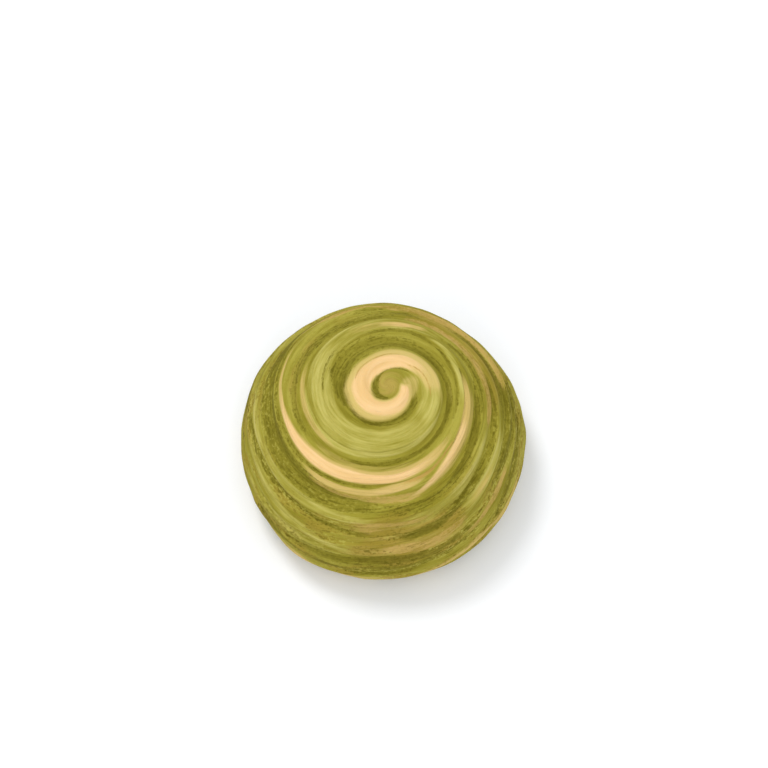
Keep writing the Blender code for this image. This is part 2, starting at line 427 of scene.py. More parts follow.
THIN_WIDTH_SHARE = 0.42
THIN_DEPTH_SHARE = 0.35
THIN_EDGE_GAIN = 1.6
FLAKY_START_LEVEL = 0.10
FLAKY_RISE_LEVELS = 0.30
broad_sheet, broad_foot = sheets(SHEET_WIDTH)
thin_sheet, thin_foot = sheets(SHEET_WIDTH * THIN_WIDTH_SHARE)
on_outer = 0.35 + 0.65 * smooth((level - FLAKY_START_LEVEL) / FLAKY_RISE_LEVELS)
broad_depth = (0.25 + 0.75 * flaky) * on_outer
thin_depth = THIN_DEPTH_SHARE * (0.2 + 0.8 * fine_flaky) * on_outer
sheet_relief = (SHEET_TOP - SHEET_DEPTH * (1.0 - broad_sheet) * broad_depth
                - SHEET_DEPTH * (1.0 - thin_sheet) * thin_depth)
# The feet of the ledges, where the material paints shade as thin dark lines.
ledge_shade = np.maximum(broad_foot * broad_depth, thin_foot * thin_depth * THIN_EDGE_GAIN)
print("thin sheets cut in to", round(sheet_relief.min() / MM, 2), "mm")

# %% [markdown]
# ## Where the colours lie
#
# The tones are wound into the dough: cream with a yellow border, a light yellow-green that also
# carries painted light on the ridges and painted highlights, a dark olive that is partly the dough's
# darker green and partly painted shade in the creases, a baked tan, and thin brown lines. Each band
# of colour is a path on the swirl, as the folds are, with its half width at each point. The same
# masks that colour it also sink the dark bands and raise the light ones, so the painted shade lies in
# real creases and the painted light on real ridges.

# %% Cream bands and their yellow borders
Band = namedtuple("Band", "strength fade path")
CREAM_BANDS = (
    Band(1.00, 0.08, ((1.03, 1.66, 0.10), (0.93, 1.70, 0.18), (0.81, 1.74, 0.24), (0.63, 1.71, 0.24),
                      (0.50, 1.58, 0.30), (0.44, 1.45, 0.29), (0.34, 1.31, 0.27), (0.22, 1.33, 0.23))),
    Band(0.95, 0.24, ((0.52, 1.60, 0.24), (0.44, 1.45, 0.28), (0.34, 1.31, 0.27), (0.25, 1.31, 0.25),
                      (0.16, 1.42, 0.22), (0.06, 1.48, 0.18), (-0.04, 1.54, 0.14))),
    Band(1.00, 0.16, ((0.90, 3.27, 0.04), (0.83, 3.28, 0.05), (0.76, 3.31, 0.06), (0.68, 3.27, 0.08),
                      (0.61, 3.28, 0.07), (0.54, 3.32, 0.045), (0.43, 3.38, 0.03))),
    Band(0.40, 0.05, ((0.82, 3.46, 0.03), (0.76, 3.47, 0.04), (0.70, 3.50, 0.03))),
    Band(0.62, 0.05, ((0.97, 3.41, 0.04), (0.91, 3.43, 0.06), (0.87, 3.47, 0.06), (0.84, 3.52, 0.05),
                      (0.81, 3.59, 0.03), (0.77, 3.67, 0.015))),
    # A small cream painted highlight on the top arc.
    Band(0.55, 0.03, ((0.26, 2.63, 0.03), (0.22, 2.63, 0.05), (0.18, 2.65, 0.02))),
)
YELLOW_BANDS = (
    Band(0.60, 0.08, ((1.12, 1.98, 0.20), (1.04, 1.96, 0.30), (0.96, 1.85, 0.28), (0.86, 1.80, 0.25))),
    Band(1.00, 0.08, ((1.06, 1.75, 0.20), (0.95, 1.72, 0.25), (0.85, 1.75, 0.30), (0.63, 1.77, 0.37),
                      (0.50, 1.65, 0.42), (0.44, 1.52, 0.40), (0.34, 1.40, 0.40), (0.25, 1.42, 0.39),
                      (0.15, 1.52, 0.32), (0.05, 1.57, 0.26), (-0.05, 1.60, 0.20))),
    Band(0.90, 0.10, ((0.94, 3.25, 0.04), (0.88, 3.25, 0.05), (0.84, 3.26, 0.08), (0.78, 3.28, 0.10),
                      (0.72, 3.275, 0.10), (0.68, 3.25, 0.11), (0.61, 3.27, 0.10), (0.54, 3.32, 0.06),
                      (0.46, 3.38, 0.035), (0.36, 3.38, 0.02))),
    Band(0.88, 0.07, ((1.07, 3.40, 0.03), (1.00, 3.41, 0.06), (0.96, 3.42, 0.08), (0.92, 3.45, 0.10),
                      (0.88, 3.475, 0.09), (0.85, 3.51, 0.08), (0.82, 3.57, 0.055), (0.79, 3.65, 0.03),
                      (0.75, 3.69, 0.02))),
    Band(0.85, 0.05, ((0.84, 3.42, 0.02), (0.80, 3.44, 0.05), (0.76, 3.46, 0.065), (0.72, 3.49, 0.045),
                      (0.66, 3.47, 0.04), (0.59, 3.46, 0.02))),
    Band(0.62, 0.09, ((0.68, 2.99, 0.03), (0.60, 2.96, 0.045), (0.53, 2.985, 0.055), (0.47, 2.98, 0.05),
                      (0.39, 2.94, 0.03))),
    Band(0.40, 0.06, ((0.84, 3.16, 0.04), (0.74, 3.15, 0.05), (0.65, 3.10, 0.05), (0.57, 3.09, 0.03))),
    Band(0.42, 0.07, ((0.37, 2.76, 0.05), (0.30, 2.64, 0.08), (0.22, 2.63, 0.09), (0.15, 2.70, 0.05))),
    # A painted highlight on the top arc.
    Band(0.85, 0.04, ((0.29, 2.64, 0.03), (0.22, 2.63, 0.07), (0.15, 2.70, 0.03))),
    Band(0.50, 0.06, ((1.04, 3.51, 0.04), (0.97, 3.53, 0.06), (0.90, 3.53, 0.06), (0.85, 3.57, 0.05),
                      (0.80, 3.64, 0.03))),
    Band(0.34, 0.10, ((1.06, 3.02, 0.05), (0.99, 3.06, 0.09), (0.92, 3.12, 0.05))),
    Band(0.34, 0.08, ((1.05, 2.76, 0.04), (0.98, 2.81, 0.06), (0.91, 2.87, 0.04))),
    Band(0.60, 0.05, ((0.94, 4.15, 0.03), (0.88, 4.17, 0.05), (0.84, 4.20, 0.04))),
    Band(0.80, 0.04, ((0.98, 4.94, 0.05), (0.95, 4.98, 0.05), (0.91, 5.00, 0.05), (0.87, 4.88, 0.08),
                      (0.83, 4.89, 0.08), (0.79, 4.90, 0.06), (0.76, 4.90, 0.03))),
    Band(0.80, 0.03, ((0.73, 4.88, 0.03), (0.69, 4.80, 0.04), (0.65, 4.72, 0.05), (0.62, 4.67, 0.03))),
)
print(len(CREAM_BANDS), "cream bands and", len(YELLOW_BANDS), "yellow ones")

# %% Light bands, with painted light on the ridges and painted highlights
PALE_AND_PAINTED_LIGHT_BANDS = (
    Band(0.85, 0.12, ((0.20, 1.60, 0.24), (0.06, 1.58, 0.26), (-0.08, 1.54, 0.25), (-0.20, 1.56, 0.22))),
    Band(0.60, 0.12, ((-0.05, 1.57, 0.26), (-0.25, 1.63, 0.30), (-0.40, 1.62, 0.28),
                      (-0.55, 1.64, 0.24), (-0.66, 1.70, 0.20), (-0.80, 1.68, 0.16))),
    Band(0.90, 0.10, ((-0.03, 1.82, 0.05), (-0.20, 1.88, 0.05), (-0.36, 1.92, 0.05), (-0.56, 1.94, 0.04))),
    Band(0.80, 0.10, ((0.66, 2.78, 0.05), (0.54, 2.72, 0.10), (0.46, 2.71, 0.10), (0.38, 2.69, 0.08),
                      (0.30, 2.64, 0.06))),
    Band(0.60, 0.10, ((0.40, 2.72, 0.07), (0.30, 2.63, 0.09), (0.22, 2.60, 0.10), (0.15, 2.64, 0.07),
                      (0.08, 2.58, 0.05))),
    Band(0.80, 0.06, ((0.18, 2.54, 0.04), (0.11, 2.47, 0.05), (0.07, 2.38, 0.06), (0.02, 2.32, 0.05),
                      (-0.04, 2.28, 0.03))),
    Band(0.75, 0.06, ((0.76, 3.88, 0.03), (0.70, 3.84, 0.05), (0.64, 3.79, 0.06), (0.58, 3.81, 0.07),
                      (0.52, 3.87, 0.07), (0.44, 3.86, 0.06))),
    Band(0.35, 0.06, ((0.48, 3.86, 0.05), (0.36, 3.80, 0.05), (0.08, 3.80, 0.06))),
    Band(0.75, 0.06, ((0.98, 3.89, 0.03), (0.92, 3.89, 0.06), (0.86, 3.92, 0.08), (0.81, 3.95, 0.08),
                      (0.74, 3.93, 0.06))),
    # A thin whitish line of painted highlight on the left.
    Band(1.00, 0.03, ((0.54, 3.90, 0.03), (0.51, 3.89, 0.04), (0.47, 3.87, 0.03))),
    Band(0.60, 0.05, ((0.74, 4.34, 0.03), (0.69, 4.23, 0.05), (0.65, 4.15, 0.06), (0.60, 4.08, 0.07),
                      (0.50, 3.99, 0.05))),
    # A thin whitish streak of painted highlight, lower on the front left.
    Band(0.90, 0.02, ((0.71, 4.26, 0.015), (0.68, 4.20, 0.025), (0.65, 4.15, 0.025), (0.63, 4.11, 0.015))),
    Band(0.95, 0.05, ((0.99, 4.15, 0.05), (0.93, 4.16, 0.07), (0.88, 4.18, 0.08), (0.83, 4.23, 0.05))),
    Band(0.40, 0.06, ((0.72, 4.34, 0.05), (0.62, 4.28, 0.06), (0.54, 4.34, 0.09), (0.50, 4.36, 0.05))),
    Band(0.40, 0.06, ((0.40, 4.34, 0.06), (0.22, 4.32, 0.07))),
)
print(len(PALE_AND_PAINTED_LIGHT_BANDS), "light bands")

# %% Dark bands: darker dough and painted shade in the creases
DARK_AND_PAINTED_SHADE_BANDS = (
    Band(0.90, 0.05, ((0.97, 2.08, 0.04), (0.90, 2.15, 0.09), (0.84, 2.17, 0.11), (0.77, 2.20, 0.07),
                      (0.68, 2.20, 0.04), (0.60, 2.16, 0.05), (0.55, 2.13, 0.08))),
    Band(0.90, 0.05, ((0.60, 2.14, 0.05), (0.50, 2.17, 0.18), (0.44, 2.20, 0.26), (0.38, 2.17, 0.29),
                      (0.30, 2.13, 0.26), (0.22, 2.08, 0.20), (0.12, 2.08, 0.12), (0.03, 2.06, 0.06),
                      (-0.18, 2.05, 0.04), (-0.36, 2.06, 0.03))),
    Band(0.95, 0.05, ((0.78, 1.40, 0.03), (0.64, 1.26, 0.10), (0.57, 1.18, 0.14), (0.50, 1.06, 0.15),
                      (0.43, 0.98, 0.12), (0.32, 1.00, 0.07), (0.18, 1.12, 0.04), (0.08, 1.22, 0.03))),
    Band(0.80, 0.05, ((0.32, 2.48, 0.04), (0.20, 2.49, 0.05), (0.12, 2.40, 0.03))),
    Band(0.70, 0.04, ((0.52, 2.58, 0.02), (0.44, 2.57, 0.03), (0.37, 2.57, 0.03))),
    Band(0.85, 0.04, ((0.14, 2.42, 0.02), (0.08, 2.30, 0.03), (0.02, 2.23, 0.025), (-0.08, 2.20, 0.02))),
    Band(0.85, 0.04, ((0.08, 2.46, 0.025), (0.02, 2.37, 0.025), (-0.04, 2.37, 0.025), (-0.12, 2.38, 0.02))),
    Band(0.68, 0.06, ((0.60, 3.13, 0.03), (0.50, 3.17, 0.05), (0.43, 3.11, 0.08), (0.34, 3.08, 0.10),
                      (0.27, 3.02, 0.06), (0.21, 2.98, 0.03))),
    Band(0.60, 0.03, ((0.32, 3.28, 0.03), (0.28, 3.24, 0.05), (0.24, 3.18, 0.03))),
    Band(0.65, 0.04, ((0.75, 3.40, 0.02), (0.66, 3.395, 0.025), (0.60, 3.42, 0.03), (0.53, 3.44, 0.03),
                      (0.45, 3.46, 0.03), (0.38, 3.47, 0.03))),
    Band(0.85, 0.05, ((0.15, 2.68, 0.04), (0.09, 2.75, 0.06), (0.04, 2.73, 0.07), (-0.03, 2.65, 0.07),
                      (-0.12, 2.68, 0.03))),
    Band(0.95, 0.05, ((1.03, 3.64, 0.04), (0.97, 3.67, 0.04), (0.92, 3.69, 0.06), (0.87, 3.74, 0.06),
                      (0.82, 3.80, 0.04))),
    Band(0.45, 0.05, ((0.86, 3.78, 0.05), (0.79, 3.79, 0.07), (0.72, 3.72, 0.06))),
    Band(0.95, 0.05, ((0.76, 3.69, 0.05), (0.70, 3.67, 0.09), (0.65, 3.62, 0.11), (0.58, 3.60, 0.12),
                      (0.50, 3.61, 0.13), (0.44, 3.64, 0.11), (0.38, 3.69, 0.08), (0.15, 3.60, 0.09),
                      (0.00, 3.62, 0.06))),
    Band(1.00, 0.05, ((1.07, 3.98, 0.03), (0.99, 3.99, 0.04), (0.93, 4.02, 0.04), (0.89, 4.03, 0.05),
                      (0.85, 4.07, 0.06), (0.82, 4.13, 0.06), (0.78, 4.13, 0.05), (0.74, 4.08, 0.04))),
    Band(0.90, 0.05, ((0.76, 4.08, 0.035), (0.70, 4.01, 0.02), (0.63, 3.91, 0.03), (0.57, 3.93, 0.045),
                      (0.52, 3.98, 0.04), (0.46, 4.04, 0.03))),
    Band(0.80, 0.05, ((1.38, 4.06, 0.05), (1.28, 4.06, 0.07), (1.22, 4.12, 0.05), (1.17, 4.12, 0.04))),
    Band(0.85, 0.05, ((1.17, 4.20, 0.03), (1.11, 4.20, 0.05), (1.05, 4.17, 0.06), (1.01, 4.26, 0.13),
                      (0.97, 4.34, 0.11), (0.93, 4.34, 0.06), (0.88, 4.38, 0.04))),
    Band(0.85, 0.04, ((0.89, 4.40, 0.03), (0.85, 4.48, 0.05), (0.81, 4.50, 0.06), (0.75, 4.43, 0.06),
                      (0.69, 4.36, 0.05))),
    Band(0.75, 0.05, ((1.08, 4.40, 0.05), (1.01, 4.55, 0.14), (0.95, 4.67, 0.12), (0.90, 4.76, 0.08),
                      (0.86, 4.74, 0.03))),
    Band(0.85, 0.04, ((0.89, 4.60, 0.03), (0.84, 4.60, 0.04), (0.79, 4.61, 0.06), (0.75, 4.61, 0.10),
                      (0.70, 4.60, 0.05), (0.66, 4.52, 0.03), (0.60, 4.47, 0.05), (0.56, 4.44, 0.03))),
    Band(0.60, 0.05, ((0.79, 4.52, 0.04), (0.75, 4.48, 0.06), (0.68, 4.40, 0.07), (0.60, 4.32, 0.06),
                      (0.56, 4.24, 0.03))),
    Band(0.70, 0.05, ((0.53, 4.24, 0.05), (0.46, 4.20, 0.11), (0.40, 4.06, 0.10), (0.28, 4.08, 0.09),
                      (0.10, 4.06, 0.08))),
)
print(len(DARK_AND_PAINTED_SHADE_BANDS), "dark bands")

# %% Brown washes, baked tan bands and thin brown lines
BROWN_BANDS = (
    Band(0.80, 0.08, ((0.90, 4.55, 0.16), (0.85, 4.35, 0.28), (0.79, 4.22, 0.36), (0.74, 4.14, 0.34),
                      (0.66, 4.05, 0.20))),
    Band(0.50, 0.08, ((0.95, 3.86, 0.06), (0.87, 3.92, 0.08), (0.79, 3.96, 0.08), (0.70, 3.90, 0.06))),
    Band(0.70, 0.08, ((0.26, 3.18, 0.12), (0.18, 3.14, 0.18), (0.10, 3.12, 0.18), (0.02, 3.06, 0.14),
                      (-0.05, 3.06, 0.08))),
    Band(0.50, 0.08, ((0.60, 3.16, 0.05), (0.50, 3.16, 0.09), (0.40, 3.14, 0.10), (0.32, 3.10, 0.06))),
)
TAN_BANDS = (
    Band(0.95, 0.05, ((0.24, 2.97, 0.04), (0.18, 2.97, 0.07), (0.13, 2.95, 0.09), (0.09, 2.92, 0.09),
                      (0.04, 2.89, 0.08), (0.00, 2.90, 0.07), (-0.06, 2.88, 0.04))),
    Band(0.60, 0.04, ((0.83, 3.98, 0.02), (0.79, 3.97, 0.03), (0.74, 3.91, 0.035), (0.69, 3.87, 0.03))),
    Band(0.50, 0.04, ((0.77, 4.00, 0.04), (0.73, 3.97, 0.07), (0.69, 3.90, 0.05))),
    Band(0.65, 0.05, ((0.83, 3.65, 0.04), (0.77, 3.62, 0.07), (0.70, 3.56, 0.04), (0.60, 3.51, 0.03))),
    Band(1.00, 0.04, ((0.87, 4.26, 0.04), (0.83, 4.32, 0.07), (0.80, 4.34, 0.08), (0.77, 4.28, 0.08),
                      (0.73, 4.21, 0.04))),
    Band(0.90, 0.03, ((0.95, 4.42, 0.03), (0.91, 4.49, 0.05), (0.88, 4.52, 0.05), (0.84, 4.56, 0.04))),
    Band(0.95, 0.05, ((0.40, 3.60, 0.06), (0.31, 3.48, 0.08), (0.24, 3.30, 0.09), (0.18, 3.32, 0.12),
                      (0.12, 3.35, 0.10), (0.07, 3.30, 0.05), (0.01, 3.27, 0.03))),
)
LINE_BANDS = (
    Band(0.60, 0.03, ((0.48, 1.76, 0.02), (0.40, 1.69, 0.035), (0.30, 1.61, 0.04), (0.18, 1.62, 0.02))),
    Band(0.60, 0.03, ((0.16, 1.34, 0.03), (0.08, 1.44, 0.03), (0.00, 1.50, 0.03), (-0.06, 1.56, 0.02))),
    Band(0.70, 0.03, ((0.91, 3.34, 0.015), (0.87, 3.36, 0.02), (0.82, 3.42, 0.03), (0.76, 3.42, 0.02))),
)
TONES = {"cream": CREAM_BANDS, "yellow": YELLOW_BANDS, "light": PALE_AND_PAINTED_LIGHT_BANDS, "dark": DARK_AND_PAINTED_SHADE_BANDS,
         "brown": BROWN_BANDS, "tan": TAN_BANDS, "line": LINE_BANDS}

print(sum(len(bands) for bands in TONES.values()), "bands in all")

# %% [markdown]
# A mask says how much of one tone each point has. Where bands of the same tone cross, the stronger
# one counts, so that a crossing doesn't show. The masks could be painted by hand, but worked out
# from the paths they follow the swirl exactly.

# %% Work out the masks
BAND_EDGE = 0.75


def soft_band(off_middle):
    """A band with a flat middle and soft edges."""
    return smooth((1.0 + BAND_EDGE / 2 - np.abs(off_middle)) / BAND_EDGE)


def tone_mask(bands):
    """How much of one tone each point has."""
    return np.max([band.strength * along_swirl(band.path, band.fade, soft_band) for band in bands], axis=0)


masks = {tone: tone_mask(bands) for tone, bands in TONES.items()}
for tone, mask in masks.items():
    print(tone, "covers", round(100 * float((mask > 0.5).mean())), "% of the points")

# %% Sink the dark bands and raise the light ones
DARK_DEPTH = 0.14 * MM
LIGHT_RISE = 0.08 * MM
RISE_END_LEVELS = (0.72, 0.86)
first, last = RISE_END_LEVELS
below_rim = 1.0 - smooth((level - first) / (last - first))
tone_relief = LIGHT_RISE * masks["light"] * below_rim - DARK_DEPTH * masks["dark"]
print("the tones sink to", round(tone_relief.min() / MM, 2), "and rise to",
      round(tone_relief.max() / MM, 2), "mm")

# %% [markdown]
# ## Shape the dough
#
# The heights so far are added along the direction square to the dome. The very crown stays smooth,
# and everything dies away under the belt, where the bun was pressed on its tray. Last come the
# crown's lean and the slow waves that put the outline a little out of round.

# %% Add the relief to the plain form
CROWN_SMOOTH_LEVEL = 0.05
RELIEF_END_LEVELS = (1.10, 1.25)
NICK_DEPTH = 0.24 * MM
NICK_WIDTH = 2.0 * MM
NICK_LENGTH = 4.2 * MM
NICK_START_LEVEL = 0.62
NICK_RISE_LEVELS = 0.25
TINY = 1e-9


def outward(points):
    """Unit vectors square to the dome, or level with the base under the belt."""
    above_belt = np.maximum(points[:, 2] - BELT_HEIGHT, 0.0)
    slope = np.column_stack((points[:, :2] / HALF_WIDTH ** 2, above_belt / CROWN_RISE ** 2))
    return slope / np.maximum(np.linalg.norm(slope, axis=1, keepdims=True), TINY)


first, last = RELIEF_END_LEVELS
kept = smooth(level / CROWN_SMOOTH_LEVEL) * (1.0 - smooth((level - first) / (last - first)))
nicks = smooth(0.5 + swirl_noise(NICK_WIDTH, NICK_LENGTH, seed=21))
nicks *= smooth((level - NICK_START_LEVEL) / NICK_RISE_LEVELS)
relief = (fold_relief + layer_relief + sheet_relief + tone_relief - NICK_DEPTH * nicks) * kept
shaped = plain + outward(plain) * relief[:, None]
waves = sum(size * np.cos(order * (side - crest)) for order, size, crest in OUTLINE_WAVES)
waves = waves * np.hypot(plain[:, 0], plain[:, 1]) / HALF_WIDTH
above_belt = np.clip((plain[:, 2] - BELT_HEIGHT) / CROWN_RISE, 0.0, 1.0)
shaped[:, 0] += waves * np.cos(side) + CROWN_LEAN[0] * above_belt
shaped[:, 1] += waves * np.sin(side) + CROWN_LEAN[1] * above_belt
write_points(pastry.data, shaped)
print("relief runs from", round(relief.min() / MM, 2), "to", round(relief.max() / MM, 2), "mm")

# %% [markdown]
# ## Triangles and shading
#
# The quads are split into triangles here, so that the split is the modeller's choice and follows
# the swirl, and the normals are made to point outwards. Smooth shading suits dough.

# %% Triangulate, turn the normals outwards and shade smooth
def split_faces():
    """Splits the quads and makes all faces point outwards."""
    bpy.ops.mesh.quads_convert_to_tris(quad_method="FIXED_ALTERNATE", ngon_method="BEAUTY")
    bpy.ops.mesh.normals_make_consistent(inside=False)


in_edit_mode(pastry, split_faces)
bpy.ops.object.shade_smooth()
place_in_mesh(pastry)
ends = np.empty(len(pastry.data.edges) * 2, dtype=int)
pastry.data.edges.foreach_get("vertices", ends)
ends = ends.reshape(-1, 2)
turn_step = side[ends[:, 1]] - side[ends[:, 0]]
level_step = level[ends[:, 1]] - level[ends[:, 0]]
slanted = (np.abs(turn_step) > NEARLY_ZERO) & (np.abs(level_step) > NEARLY_ZERO)
slanted &= np.abs(turn_step) < 2.0 * FULL_TURN / ROUND_FACES
along_flow = (turn_step * level_step)[slanted] < 0.0
print("the pastry has", len(pastry.data.polygons), "triangles;",
      round(100 * float(along_flow.mean())), "% of the splits run along the swirl")

# %% [markdown]
# ## Masks for the material
#
# The tones could go on the bun as a painted picture, laid out flat, or as numbers on its points. The
# points are close together and already carry the masks, so the numbers are the simpler way. Each mask
# is stored on the mesh as an attribute, which the material reads by name. The painted shade at the
# foot of the sheets' ledges goes with them.

# %% Store the masks on the mesh
def store(mesh, name, values):
    """Keeps one number for each point, for the material to read."""
    attribute = mesh.attributes.new(name=name, type="FLOAT", domain="POINT")
    attribute.data.foreach_set("value", values.astype(np.float32))


for tone, mask in masks.items():
    store(pastry.data, tone, mask)
# The ledges' feet, for the painted shade in the material.
store(pastry.data, "edge", np.clip(ledge_shade, 0.0, 1.0) * kept)
print("stored", len(pastry.data.attributes), "attributes")

# %% [markdown]
# ## Writing a material as sums
#
# A material's nodes are easier to read as arithmetic. A Wire holds one socket, and adding or
# multiplying Wires adds Math nodes. A Material wraps one material and has one method that adds any
# node: its type, its settings, and the values or wires of its sockets.

# %% A wire with arithmetic, and a material that makes nodes
class Wire:
    """One output socket, with the operators that the dough's maths uses."""

    def __init__(self, owner, socket):
        self.owner = owner
        self.socket = socket

    def __add__(self, other):
        return self.owner.maths("ADD", self, other)

    def __sub__(self, other):
        return self.owner.maths("SUBTRACT", self, other)

    def __rsub__(self, other):
        return self.owner.maths("SUBTRACT", other, self)

    def __mul__(self, other):
        return self.owner.maths("MULTIPLY", self, other)

    def __truediv__(self, other):
        return self.owner.maths("DIVIDE", self, other)

    def __rtruediv__(self, other):
        return self.owner.maths("DIVIDE", other, self)

    __radd__ = __add__
    __rmul__ = __mul__


class Material:
    """A material built from nodes."""

    def __init__(self, name):
        self.material = bpy.data.materials.new(name)
        self.material.use_nodes = True
        self.tree = self.material.node_tree
        self.shader = self.tree.nodes["Principled BSDF"]

    def node(self, kind, settings=None, inputs=None, output=0):
        """Adds a node, sets it, feeds its sockets and gives back one of its outputs."""
        made = self.tree.nodes.new(kind)
        for key, value in (settings or {}).items():
            setattr(made, key, value)
        for key, value in (inputs or {}).items():
            self.feed(made.inputs[key], value)
        return Wire(self, made.outputs[output])

    def feed(self, socket, value):
        """Links a wire to a socket or sets its value."""
        if isinstance(value, Wire):
            self.tree.links.new(value.socket, socket)
        else:
            socket.default_value = value

    def maths(self, operation, *values):
        """A Math node on numbers or wires."""
        return self.node("ShaderNodeMath", {"operation": operation}, dict(enumerate(values)))

    def ease(self, value, start, end):
        """0 up to start, 1 from end on, and smooth between. A start above the end turns it round."""
        return self.node("ShaderNodeMapRange", {"interpolation_type": "SMOOTHSTEP"},
                         {0: value, 1: start, 2: end, 3: 0.0, 4: 1.0})

    def mix(self, share, first, second):
        """Mixes two colours: sockets 6 and 7 are a Mix node's colours, and output 2 is its colour."""
        return self.node("ShaderNodeMix", {"data_type": "RGBA"}, {0: share, 6: first, 7: second}, 2)

    def vector(self, *parts):
        """Three numbers or wires as a vector."""
        return self.node("ShaderNodeCombineXYZ", {}, dict(enumerate(parts)))

    def attribute(self, name):
        """A number stored on the mesh."""
        return self.node("ShaderNodeAttribute", {"attribute_name": name}, {}, "Fac")


# %% [markdown]
# ## The swirl's law again, in nodes
#
# The colours need streaks finer than the mesh, so the material works out the level and the winding
# number of each point by itself, from its place. It is the same law, written with wires.

# %% Level, side and winding number in the material
dough = Material("swirl_dough")
place = dough.node("ShaderNodeTexCoord", output="Object")
parts = dough.node("ShaderNodeSeparateXYZ", {}, {0: place})
across, deep, tall = (Wire(dough, parts.socket.node.outputs[index]) for index in range(3))
risen = (tall - BELT_HEIGHT) / CROWN_RISE
over_belt = dough.maths("MAXIMUM", risen, 0.0)
across = across - over_belt * CROWN_LEAN[0]
deep = deep - over_belt * CROWN_LEAN[1]
reach = dough.maths("SQRT", across * across + deep * deep)
shader_level = (dough.maths("ARCTAN2", reach / HALF_WIDTH, over_belt) / (math.pi / 2)
                + dough.maths("MAXIMUM", 0.0 - risen, 0.0) * (CROWN_RISE / DOME_ARC))
shader_side = dough.maths("ARCTAN2", deep, across)
thinning = dough.maths("EXPONENT", shader_level * -INNER_TIGHTNESS)
drift = shader_level * SWIRL_DRIFT * dough.maths("COSINE", shader_side - SWIRL_DRIFT_SIDE)
shader_winding = ((1.0 - thinning) * INNER_WINDINGS + shader_level * OUTER_WINDINGS
                  + shader_side / FULL_TURN + drift)
shader_pitch = (DOME_ARC / MM) / (thinning * (INNER_WINDINGS * INNER_TIGHTNESS) + OUTER_WINDINGS)
turned = shader_winding * FULL_TURN
circle_x = dough.maths("COSINE", turned) * shader_pitch / FULL_TURN
circle_y = dough.maths("SINE", turned) * shader_pitch / FULL_TURN
print("the swirl's law takes", len(dough.tree.nodes), "nodes")


def streaks(width, length, detail, roughness, offset):
    """Noise along the swirl: grains width across and length along it, in millimetres."""
    where = dough.vector(circle_x / width, circle_y / width, across * (1.0 / MM / length) + offset)
    return dough.node("ShaderNodeTexNoise", {"noise_dimensions": "4D"},
                      {"Vector": where, "W": deep * (1.0 / MM / length) + offset, "Scale": 1.0,
                       "Detail": detail, "Roughness": roughness})


# %% [markdown]
# ## The dough's colours
#
# The green is powdered tea leaf in the dough: fresh and yellowish where it is thick and moist,
# brown-olive where it has baked dry. Streaks of three widths mix the greens, and the masks, their
# edges broken up by the same streaks, lay the tones over them.

# %% The palette
LIGHT_ON_TOP = (1.21, 1.235, 1.25)


def linear(red, green, blue):
    """A colour given as it looks in the studio light, 0 to 255, as the share that it reflects."""
    shares = [value / 255.0 for value in (red, green, blue)]
    light = [share / 12.92 if share <= 0.04045 else ((share + 0.055) / 1.055) ** 2.4
             for share in shares]
    return tuple([share / lit for share, lit in zip(light, LIGHT_ON_TOP)] + [1.0])


DARKEST = linear(106, 98, 14)
DEEP = linear(140, 131, 34)
MID = linear(158, 149, 50)
PALE = linear(176, 167, 68)
LIGHT = linear(194, 184, 90)
LIGHTEST = linear(206, 196, 108)
YELLOW = linear(217, 192, 114)
SAND = linear(212, 184, 108)
CREAM = linear(246, 208, 149)
CREAM_SHADE = linear(238, 198, 133)
BROWN = linear(160, 138, 50)
TAN = linear(202, 170, 94)
LINE = linear(188, 152, 76)
print("the middle green reflects", [round(share, 3) for share in MID[:3]])

# %% Streaks along the swirl, and crumbs
GRAIN_SIZE = 0.62 * MM
wide = streaks(width=2.2, length=18.0, detail=2.0, roughness=0.5, offset=3.0)
middle = streaks(width=0.85, length=9.0, detail=3.0, roughness=0.5, offset=11.0)
fine = streaks(width=0.32, length=5.0, detail=3.0, roughness=0.6, offset=23.0)
dash = streaks(width=0.34, length=1.3, detail=2.0, roughness=0.6, offset=51.0)
strand = streaks(width=0.20, length=6.0, detail=1.0, roughness=0.5, offset=83.0)
patch = streaks(width=3.4, length=7.0, detail=2.0, roughness=0.5, offset=67.0)
grain = dough.node("ShaderNodeTexNoise", {}, {"Vector": place, "Scale": 1.0 / GRAIN_SIZE,
                                              "Detail": 2.0, "Roughness": 0.65})
crumbs = dash * 0.55 + grain * 0.45
outer = dough.ease(shader_level, 0.40, 0.80)
mixed = wide * 0.45 + middle * 0.33 + fine * 0.22
print("with the streaks there are", len(dough.tree.nodes), "nodes")

# %% What each tone is made of
green = dough.mix(dough.ease(mixed, 0.40, 0.50), DEEP, MID)
green = dough.mix(dough.ease(mixed, 0.49, 0.61), green, PALE)
# The dark tone is the dough's darker green and painted shade where the dark bands lie in creases.
dark_and_painted_shade_tone = dough.mix(dough.ease(mixed, 0.42, 0.60), DARKEST, DEEP)
# The light tone is paler dough, and painted light on the ridges that goes up to whitish painted highlights.
pale_and_painted_light_tone = dough.mix(dough.ease(mixed, 0.40, 0.58), PALE, LIGHTEST)
brown_tone = dough.mix(dough.ease(mixed, 0.42, 0.60), BROWN, dough.mix(0.5, BROWN, TAN))
tan_tone = dough.mix(dough.ease(mixed * 0.6 + crumbs * 0.4, 0.40, 0.54), BROWN, TAN)
cream_tone = dough.mix(dough.ease(mixed, 0.40, 0.58), CREAM_SHADE, CREAM)
yellow_tone = dough.mix(dough.ease(shader_level, 0.28, 0.36), YELLOW, SAND)


# %% Tear the masks' edges
def torn(tone, breaks, ragged, start, end):
    """A tone's mask with its edges broken up by a noise."""
    return dough.ease(dough.attribute(tone) + (breaks - 0.5) * ragged, start, end)


